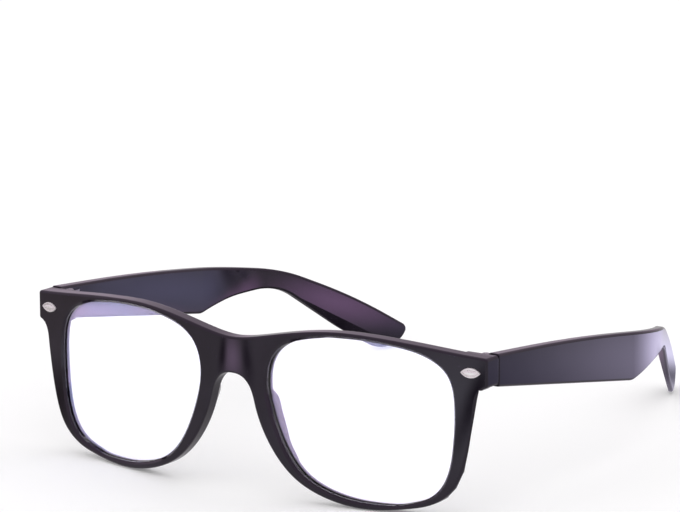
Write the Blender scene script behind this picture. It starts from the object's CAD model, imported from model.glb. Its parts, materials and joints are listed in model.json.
import json
import math

import bmesh
import bpy
from mathutils import Matrix, Vector


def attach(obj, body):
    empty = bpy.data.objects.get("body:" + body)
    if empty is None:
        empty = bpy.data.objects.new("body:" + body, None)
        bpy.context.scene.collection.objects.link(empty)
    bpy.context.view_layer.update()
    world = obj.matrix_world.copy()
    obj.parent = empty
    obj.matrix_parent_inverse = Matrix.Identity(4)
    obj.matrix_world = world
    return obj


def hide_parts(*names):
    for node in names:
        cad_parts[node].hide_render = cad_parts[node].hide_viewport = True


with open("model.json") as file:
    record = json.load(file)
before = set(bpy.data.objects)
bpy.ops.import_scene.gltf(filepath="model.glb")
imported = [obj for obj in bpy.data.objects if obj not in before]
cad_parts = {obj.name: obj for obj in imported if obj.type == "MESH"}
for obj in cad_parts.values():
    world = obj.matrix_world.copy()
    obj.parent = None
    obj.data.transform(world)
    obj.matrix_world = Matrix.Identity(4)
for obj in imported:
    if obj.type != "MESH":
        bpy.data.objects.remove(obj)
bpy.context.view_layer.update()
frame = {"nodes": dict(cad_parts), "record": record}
nodes = frame["nodes"]
mm = 0.001
print("frame loaded", len(nodes), "nodes")

# Camera at the photograph's viewing angle: place in metres, angles in degrees, lens in millimetres
photoView = {
    "location": (0.76896, -1.06446, 0.37900),
    "heading": 36.384,
    "lookDown": 14.167,
    "roll": -2.056,
    "focalLength": 268.72,
    "sensorWidth": 36.0,
    "nearestSeen": 50 * mm,
}


def setCamera(view):
    camera = bpy.data.cameras.new("photoCamera")
    camera.lens = view["focalLength"]
    camera.sensor_width = view["sensorWidth"]
    camera.clip_start = view["nearestSeen"]
    cameraObject = bpy.data.objects.new("photoCamera", camera)
    bpy.context.scene.collection.objects.link(cameraObject)
    turn = Matrix.Rotation(math.radians(view["heading"]), 4, "Z")
    tip = Matrix.Rotation(math.radians(90 - view["lookDown"]), 4, "X")  # 90 looks level
    roll = Matrix.Rotation(math.radians(view["roll"]), 4, "Z")
    cameraObject.matrix_world = Matrix.Translation(view["location"]) @ turn @ tip @ roll
    bpy.context.scene.camera = cameraObject


setCamera(photoView)
print("camera set")


# Small helpers, so that each finish reads as a short list of nodes
def newMaterial(name):
    material = bpy.data.materials.new(name)
    material.use_nodes = True
    tree = material.node_tree
    shader = tree.nodes["Principled BSDF"]
    return material, tree, shader


def addNode(tree, kind, **values):
    node = tree.nodes.new(kind)
    for name, value in values.items():
        if name in node.inputs:
            node.inputs[name].default_value = value
        else:
            setattr(node, name, value)
    return node


def objectNoise(tree, size, detail):
    place = tree.nodes.new("ShaderNodeTexCoord")
    noise = addNode(tree, "ShaderNodeTexNoise", Scale=1 / size, Detail=detail)
    tree.links.new(place.outputs["Object"], noise.inputs["Vector"])
    return noise


noiseSpan = (0.35, 0.65)  # where most of a noise's values lie


# The source's span, stretched to run from the low number to the high one
def spread(tree, source, low, high, span=noiseSpan):
    ramp = tree.nodes.new("ShaderNodeMapRange")
    ramp.inputs["From Min"].default_value, ramp.inputs["From Max"].default_value = span
    ramp.inputs["To Min"].default_value = low
    ramp.inputs["To Max"].default_value = high
    tree.links.new(source, ramp.inputs["Value"])
    return ramp.outputs["Result"]


def colourRamp(tree, source, low, high, span=noiseSpan):
    ramp = tree.nodes.new("ShaderNodeValToRGB")
    for stop, position, colour in zip(ramp.color_ramp.elements, span, (low, high)):
        stop.position = position
        stop.color = (*colour, 1)
    tree.links.new(source, ramp.inputs["Fac"])
    return ramp.outputs["Color"]


# First colour where the amount is 0, second where it is 1; each is a colour or a link
def mixColours(tree, amount, first, second):
    mix = addNode(tree, "ShaderNodeMix", data_type="RGBA")
    amountIn, firstIn, secondIn = mix.inputs[0], mix.inputs[6], mix.inputs[7]
    tree.links.new(amount, amountIn)
    for socket, colour in ((firstIn, first), (secondIn, second)):
        if isinstance(colour, tuple):
            socket.default_value = (*colour, 1)
        else:
            tree.links.new(colour, socket)
    return mix.outputs[2]


# First shader where the amount is 0, second where it is 1
def mixShaders(tree, amount, first, second):
    mix = tree.nodes.new("ShaderNodeMixShader")
    if isinstance(amount, float):
        mix.inputs["Fac"].default_value = amount
    else:
        tree.links.new(amount, mix.inputs["Fac"])
    tree.links.new(first, mix.inputs[1])
    tree.links.new(second, mix.inputs[2])
    return mix.outputs["Shader"]


def showShader(tree, shader):
    tree.links.new(shader, tree.nodes["Material Output"].inputs["Surface"])


def bumpFrom(tree, source, height):
    bump = addNode(tree, "ShaderNodeBump", Distance=height)
    tree.links.new(source, bump.inputs["Height"])
    return bump.outputs["Normal"]


# Polished moulded plastic: deep black, faint flow clouding and a long, shallow ripple
plasticFinish = {
    "dark": (0.0062, 0.0042, 0.0082),
    "light": (0.0105, 0.0075, 0.0135),
    "clouding": 9 * mm,
    "cloudDetail": 4.0,
    "ripple": 16 * mm,
    "rippleHeight": 0.035 * mm,
    "polished": 0.035,
    "handled": 0.075,
    "reflectionTint": (0.95, 0.88, 1.0, 1),
    "ior": 1.5,
}


def blackPlastic(finish):
    material, tree, shader = newMaterial("blackPlastic")
    clouds = objectNoise(tree, finish["clouding"], finish["cloudDetail"])
    shade = colourRamp(tree, clouds.outputs["Fac"], finish["dark"], finish["light"])
    tree.links.new(shade, shader.inputs["Base Color"])
    gloss = spread(tree, clouds.outputs["Fac"], finish["polished"], finish["handled"])
    tree.links.new(gloss, shader.inputs["Roughness"])
    ripple = objectNoise(tree, finish["ripple"], 0.0)  # one smooth wave, no fine detail
    normal = bumpFrom(tree, ripple.outputs["Fac"], finish["rippleHeight"])
    tree.links.new(normal, shader.inputs["Normal"])
    shader.inputs["IOR"].default_value = finish["ior"]
    shader.inputs["Specular Tint"].default_value = finish["reflectionTint"]
    return material


# Clear plate: polished, colourless, and lamps shine through it
lensFinish = {
    "tint": (0.992, 0.994, 1.0, 1),
    "roughness": 0.0,
    "clearness": 1.0,
    "ior": 1.49,
}


def clearPlate(finish):
    material, tree, shader = newMaterial("clearPlate")
    shader.inputs["Base Color"].default_value = finish["tint"]
    shader.inputs["Roughness"].default_value = finish["roughness"]
    shader.inputs["Transmission Weight"].default_value = finish["clearness"]
    shader.inputs["IOR"].default_value = finish["ior"]
    light = tree.nodes.new("ShaderNodeLightPath")
    clear = tree.nodes.new("ShaderNodeBsdfTransparent")
    plate = mixShaders(
        tree, light.outputs["Is Shadow Ray"], shader.outputs["BSDF"], clear.outputs["BSDF"]
    )
    showShader(tree, plate)
    return material


# Diffraction film: clear, with a faint milky scatter on its front, where the lines are pressed in
filmFinish = {
    "cool": (0.165, 0.18, 0.305),
    "warm": (0.215, 0.185, 0.285),
    "drift": 25 * mm,
    "driftDetail": 1.0,
    "roughness": 0.25,
    "sheen": 0.25,
    "coating": 340.0,  # nanometres
    "coatingIor": 1.35,
    "frontSpan": (-0.1, 0.1),  # the normal's Y, from the front face to the others
}


def filmVeil(finish):
    material, tree, shader = newMaterial("filmVeil")
    drift = objectNoise(tree, finish["drift"], finish["driftDetail"])
    shade = colourRamp(tree, drift.outputs["Fac"], finish["cool"], finish["warm"])
    tree.links.new(shade, shader.inputs["Base Color"])
    shader.inputs["Roughness"].default_value = finish["roughness"]
    shader.inputs["Thin Film Thickness"].default_value = finish["coating"]
    shader.inputs["Thin Film IOR"].default_value = finish["coatingIor"]
    glow = tree.nodes.new("ShaderNodeBsdfTranslucent")
    tree.links.new(shade, glow.inputs["Color"])
    haze = mixShaders(tree, finish["sheen"], glow.outputs["BSDF"], shader.outputs["BSDF"])
    clear = tree.nodes.new("ShaderNodeBsdfTransparent")
    scatter = tree.nodes.new("ShaderNodeAddShader")
    tree.links.new(clear.outputs["BSDF"], scatter.inputs[0])
    tree.links.new(haze, scatter.inputs[1])
    place = tree.nodes.new("ShaderNodeTexCoord")
    facing = tree.nodes.new("ShaderNodeSeparateXYZ")
    tree.links.new(place.outputs["Normal"], facing.inputs["Vector"])
    pressed = spread(tree, facing.outputs["Y"], 1.0, 0.0, finish["frontSpan"])
    film = mixShaders(tree, pressed, clear.outputs["BSDF"], scatter.outputs["Shader"])
    showShader(tree, film)
    return material


# Bright plated badge, and the two plainer metals of the hinges and screws
badgeFinish = {
    "clean": (0.96, 0.93, 0.93),
    "dull": (0.82, 0.78, 0.78),
    "cloud": 0.8 * mm,
    "bright": 0.14,
    "worn": 0.30,
    "metallic": 0.55,  # keeps it bright where it reflects the dark
}
hingeFinish = {
    "clean": (0.40, 0.40, 0.41),
    "dull": (0.24, 0.24, 0.25),
    "cloud": 0.6 * mm,
    "bright": 0.28,
    "worn": 0.45,
    "metallic": 1.0,
}
screwFinish = {
    "clean": (0.55, 0.55, 0.56),
    "dull": (0.36, 0.36, 0.37),
    "cloud": 0.35 * mm,
    "bright": 0.22,
    "worn": 0.40,
    "metallic": 1.0,
}
metalCloudDetail = 5.0
metalCloudSpan = (0.3, 0.7)


def platedMetal(name, finish):
    material, tree, shader = newMaterial(name)
    cloud = objectNoise(tree, finish["cloud"], metalCloudDetail).outputs["Fac"]
    shade = colourRamp(tree, cloud, finish["dull"], finish["clean"], metalCloudSpan)
    tree.links.new(shade, shader.inputs["Base Color"])
    gloss = spread(tree, cloud, finish["worn"], finish["bright"], metalCloudSpan)
    tree.links.new(gloss, shader.inputs["Roughness"])
    shader.inputs["Metallic"].default_value = finish["metallic"]
    return material


finishes = {
    "black_plastic": blackPlastic(plasticFinish),
    "clear_lens": clearPlate(lensFinish),
    "diffraction_film": filmVeil(filmFinish),
    "silver_badge": platedMetal("badgeMetal", badgeFinish),
    "hinge_metal": platedMetal("hingeMetal", hingeFinish),
    "screw_steel": platedMetal("screwSteel", screwFinish),
}
for subpart in frame["record"]["subparts"]:
    mesh = nodes[subpart["node"]].data
    mesh.materials.clear()
    mesh.materials.append(finishes[subpart["material_slot"]])
print("finishes made")


# How the upright glasses come to rest on rims and ears: turn in degrees, then the shift
restPose = {
    "tilt": 2.7147,
    "forward": 71.298 * mm,
    "lift": 0.394 * mm,
}
restTurn = Matrix.Rotation(math.radians(-restPose["tilt"]), 4, "X")
toRest = Matrix.Translation((0, -restPose["forward"], restPose["lift"])) @ restTurn


def finishPiece(shape, name, body, slotName, place, creaseAngle, replaced):
    bmesh.ops.transform(shape, matrix=place, verts=shape.verts)
    if place.determinant() < 0:
        bmesh.ops.reverse_faces(shape, faces=shape.faces)
    mesh = bpy.data.meshes.new(name)
    shape.to_mesh(mesh)
    shape.free()
    piece = bpy.data.objects.new(name, mesh)
    bpy.context.scene.collection.objects.link(piece)
    mesh.materials.append(finishes[slotName])
    mesh.shade_smooth()
    mesh.set_sharp_from_angle(angle=math.radians(creaseAngle))
    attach(piece, body)
    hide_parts(*replaced)


# Badge: a pointed oval plate with a raised rim and a domed middle, on the swept face
badgeSize = {
    "centre": (67.8 * mm, 9.94 * mm, 38.5 * mm),
    "length": 5.4 * mm,
    "height": 2.65 * mm,
    "sink": 0.1 * mm,
    "rise": 0.25 * mm,
    "endSweep": 11.21,  # degrees that the front is swept back there
    "sides": 96,
    "creaseAngle": 40,  # degrees, past which an edge shows as sharp
}
# Steps from the outer edge to the middle: how far in, then how far up
badgeSteps = [
    (0.06 * mm, 0.13 * mm),
    (0.16 * mm, 0.06 * mm),
    (0.16 * mm, -0.05 * mm),
    (0.10 * mm, -0.22 * mm),
    (0.10 * mm, 0.0 * mm),
    (0.10 * mm, 0.16 * mm),
    (0.14 * mm, 0.10 * mm),
    (0.18 * mm, 0.05 * mm),
    (0.20 * mm, 0.01 * mm),
]


def badgePiece(size, steps, name, side):
    shape = bmesh.new()
    bmesh.ops.create_circle(shape, cap_ends=True, segments=size["sides"], radius=1.0)
    long, high = size["length"] / 2, size["height"] / 2
    bow = (long * long + high * high) / (2 * high)  # radius of the arcs that meet in points
    for vert in shape.verts:
        along = long * vert.co.x
        across = math.sqrt(bow * bow - along * along) - (bow - high)
        vert.co = (along, math.copysign(across, vert.co.y), -size["sink"])
    top = shape.faces[:]
    for inward, upward in [(0, size["sink"] + size["rise"])] + steps:
        grown = bmesh.ops.extrude_face_region(shape, geom=top)
        bmesh.ops.delete(shape, geom=top, context="FACES_ONLY")
        top = [item for item in grown["geom"] if isinstance(item, bmesh.types.BMFace)]
        ring = [item for item in grown["geom"] if isinstance(item, bmesh.types.BMVert)]
        bmesh.ops.scale(shape, vec=((long - inward) / long, (high - inward) / high, 1), verts=ring)
        bmesh.ops.translate(shape, vec=(0, 0, upward), verts=ring)
        long, high = long - inward, high - inward
    bmesh.ops.holes_fill(shape, edges=shape.edges[:], sides=0)  # closes the underside
    bmesh.ops.recalc_face_normals(shape, faces=shape.faces)
    turn = Matrix.Rotation(math.radians(size["endSweep"]), 4, "Z")
    upright = Matrix.Rotation(math.radians(90), 4, "X")
    place = toRest @ Matrix.Translation(size["centre"]) @ turn @ upright
    if side == "right":
        place = Matrix.Scale(-1, 4, (1, 0, 0)) @ place
    finishPiece(
        shape, name, "front_body", "silver_badge", place, size["creaseAngle"], [side + "_badge"]
    )


for side in ("left", "right"):
    badgePiece(badgeSize, badgeSteps, side + "BadgePlate", side)
print("badges made")


# Floor and light, in metres. Gloss reflections see the gloss colours and the pools.
studio = {
    "floorSize": 6.0,
    "floorColour": (0.86, 0.86, 0.86),
    "floorRoughness": 0.9,
    "floorLift": 0.16,
    "roomColour": (1.0, 0.985, 1.0),
    "roomLevel": 0.96,
    "seenLevel": 1.0,
    "glossRoom": (0.66, 0.55, 0.66),
    "glossFloor": (0.60, 0.58, 0.60),
}
# Each pool: where it lies, its turn in degrees, its reach along and across, and its colour
floorPools = [
    {"at": (0.03, -0.21), "turn": 0, "reach": (0.09, 0.16), "colour": (1.05, 1.10, 1.15)},
    {"at": (-0.25, -0.16), "turn": 0, "reach": (0.18, 0.26), "colour": (0.45, 0.40, 0.40)},
    {"at": (-0.13, -0.08), "turn": 0, "reach": (0.08, 0.07), "colour": (0.12, 0.10, 0.08)},
    {"at": (-0.111, -0.22), "turn": 53.6, "reach": (0.06, 0.014), "colour": (2.1, 1.6, 2.2)},
    {"at": (-0.1214, -0.2173), "turn": 53.6, "reach": (0.06, 0.006), "colour": (0.02, 0.02, 0.01)},
    {"at": (-0.0991, -0.2288), "turn": 53.6, "reach": (0.06, 0.0075), "colour": (0.02, 0.02, 0.02)},
    {"at": (0.0345, -0.222), "turn": 82, "reach": (0.12, 0.0045), "colour": (0.02, 0.02, 0.02)},
    {"at": (0.15, 0.05), "turn": 0, "reach": (0.08, 0.08), "colour": (0.42, 0.41, 0.58)},
    {"at": (0.092, 0.11), "turn": 0, "reach": (0.085, 0.085), "colour": (3.0, 2.8, 3.8)},
    {"at": (0.0, 0.088), "turn": 0, "reach": (0.06, 0.045), "colour": (0.98, 0.98, 1.5)},
    {"at": (0.018, 0.050), "turn": 160, "reach": (0.055, 0.021), "colour": (2.9, 1.85, 3.1)},
    {"at": (0.052, 0.056), "turn": 0, "reach": (0.014, 0.014), "colour": (0.5, 0.45, 0.6)},
    {"at": (0.046, 0.083), "turn": 55, "reach": (0.045, 0.022), "colour": (0.20, 0.19, 0.25)},
    {"at": (-0.050, 0.046), "turn": 0, "reach": (0.04, 0.035), "colour": (0.03, 0.02, 0.03)},
]


# 1 only for what shows in a gloss reflection, not for what shows through the lenses
def mirroredRay(tree):
    path = tree.nodes.new("ShaderNodeLightPath")
    mirrored = addNode(tree, "ShaderNodeMath", operation="SUBTRACT", use_clamp=True)
    tree.links.new(path.outputs["Is Glossy Ray"], mirrored.inputs[0])
    tree.links.new(path.outputs["Is Transmission Ray"], mirrored.inputs[1])
    return mirrored.outputs["Value"]


# 1 for what the camera sees straight, in a reflection or through the lenses
def seenRay(tree):
    path = tree.nodes.new("ShaderNodeLightPath")
    total = path.outputs["Is Camera Ray"]
    for ray in ("Is Glossy Ray", "Is Transmission Ray"):
        either = addNode(tree, "ShaderNodeMath", operation="MAXIMUM")
        tree.links.new(total, either.inputs[0])
        tree.links.new(path.outputs[ray], either.inputs[1])
        total = either.outputs["Value"]
    return total


# The plain colour, with each pool laid over it in turn and fading out to its reach
def pooledColour(tree, plain, pools):
    place = tree.nodes.new("ShaderNodeTexCoord")
    total = plain
    for pool in pools:
        spot = addNode(tree, "ShaderNodeMapping", vector_type="TEXTURE")
        spot.inputs["Location"].default_value = (*pool["at"], 0)
        spot.inputs["Rotation"].default_value = (0, 0, math.radians(pool["turn"]))
        spot.inputs["Scale"].default_value = (*pool["reach"], 1)
        tree.links.new(place.outputs["Object"], spot.inputs["Vector"])
        away = addNode(tree, "ShaderNodeVectorMath", operation="LENGTH")
        tree.links.new(spot.outputs["Vector"], away.inputs[0])
        fade = addNode(tree, "ShaderNodeMapRange", interpolation_type="SMOOTHSTEP")
        fade.inputs["To Min"].default_value = 1.0
        fade.inputs["To Max"].default_value = 0.0
        tree.links.new(away.outputs["Value"], fade.inputs["Value"])
        total = mixColours(tree, fade.outputs["Result"], total, pool["colour"])
    return total


def paleFloor(size, pools):
    material, tree, shader = newMaterial("paleFloor")
    shader.inputs["Base Color"].default_value = (*size["floorColour"], 1)
    shader.inputs["Roughness"].default_value = size["floorRoughness"]
    shader.inputs["Specular IOR Level"].default_value = 0.0
    shader.inputs["Emission Color"].default_value = (1, 1, 1, 1)
    lift = addNode(tree, "ShaderNodeMath", operation="MULTIPLY")
    lift.inputs[1].default_value = size["floorLift"]
    tree.links.new(seenRay(tree), lift.inputs[0])
    tree.links.new(lift.outputs["Value"], shader.inputs["Emission Strength"])
    reflected = tree.nodes.new("ShaderNodeEmission")
    reflectedColour = pooledColour(tree, size["glossFloor"], pools)
    tree.links.new(reflectedColour, reflected.inputs["Color"])
    floor = mixShaders(
        tree, mirroredRay(tree), shader.outputs["BSDF"], reflected.outputs["Emission"]
    )
    showShader(tree, floor)
    return material


def layFloor(size, pools):
    mesh = bpy.data.meshes.new("paleFloor")
    shape = bmesh.new()
    bmesh.ops.create_grid(shape, x_segments=1, y_segments=1, size=size["floorSize"] / 2)
    shape.to_mesh(mesh)
    shape.free()
    floor = bpy.data.objects.new("paleFloor", mesh)
    bpy.context.scene.collection.objects.link(floor)
    mesh.materials.append(paleFloor(size, pools))


# What is seen is a little brighter than what lights the object
def roomLight(size):
    world = bpy.data.worlds.new("paleRoom")
    bpy.context.scene.world = world
    world.use_nodes = True
    tree = world.node_tree
    background = tree.nodes["Background"]
    colour = mixColours(tree, mirroredRay(tree), size["roomColour"], size["glossRoom"])
    tree.links.new(colour, background.inputs["Color"])
    level = tree.nodes.new("ShaderNodeMapRange")
    level.inputs["To Min"].default_value = size["roomLevel"]
    level.inputs["To Max"].default_value = size["seenLevel"]
    tree.links.new(seenRay(tree), level.inputs["Value"])
    tree.links.new(level.outputs["Result"], background.inputs["Strength"])


# Places and sides in metres, power in watts
softLamps = {
    "overhead": {"at": (0.1, 0.25, 1.1), "toward": (0, 0, 0.02), "side": 0.9, "power": 1.2},
}


def hangLamps(lamps):
    for name, lamp in lamps.items():
        light = bpy.data.lights.new(name, "AREA")
        light.shape = "SQUARE"
        light.size = lamp["side"]
        light.energy = lamp["power"]
        lightObject = bpy.data.objects.new(name, light)
        bpy.context.scene.collection.objects.link(lightObject)
        aim = Vector(lamp["toward"]) - Vector(lamp["at"])
        turn = aim.to_track_quat("-Z", "Y").to_matrix().to_4x4()
        lightObject.matrix_world = Matrix.Translation(lamp["at"]) @ turn


layFloor(studio, floorPools)
roomLight(studio)
hangLamps(softLamps)
bpy.context.scene.view_settings.view_transform = "Standard"
print("studio ready")
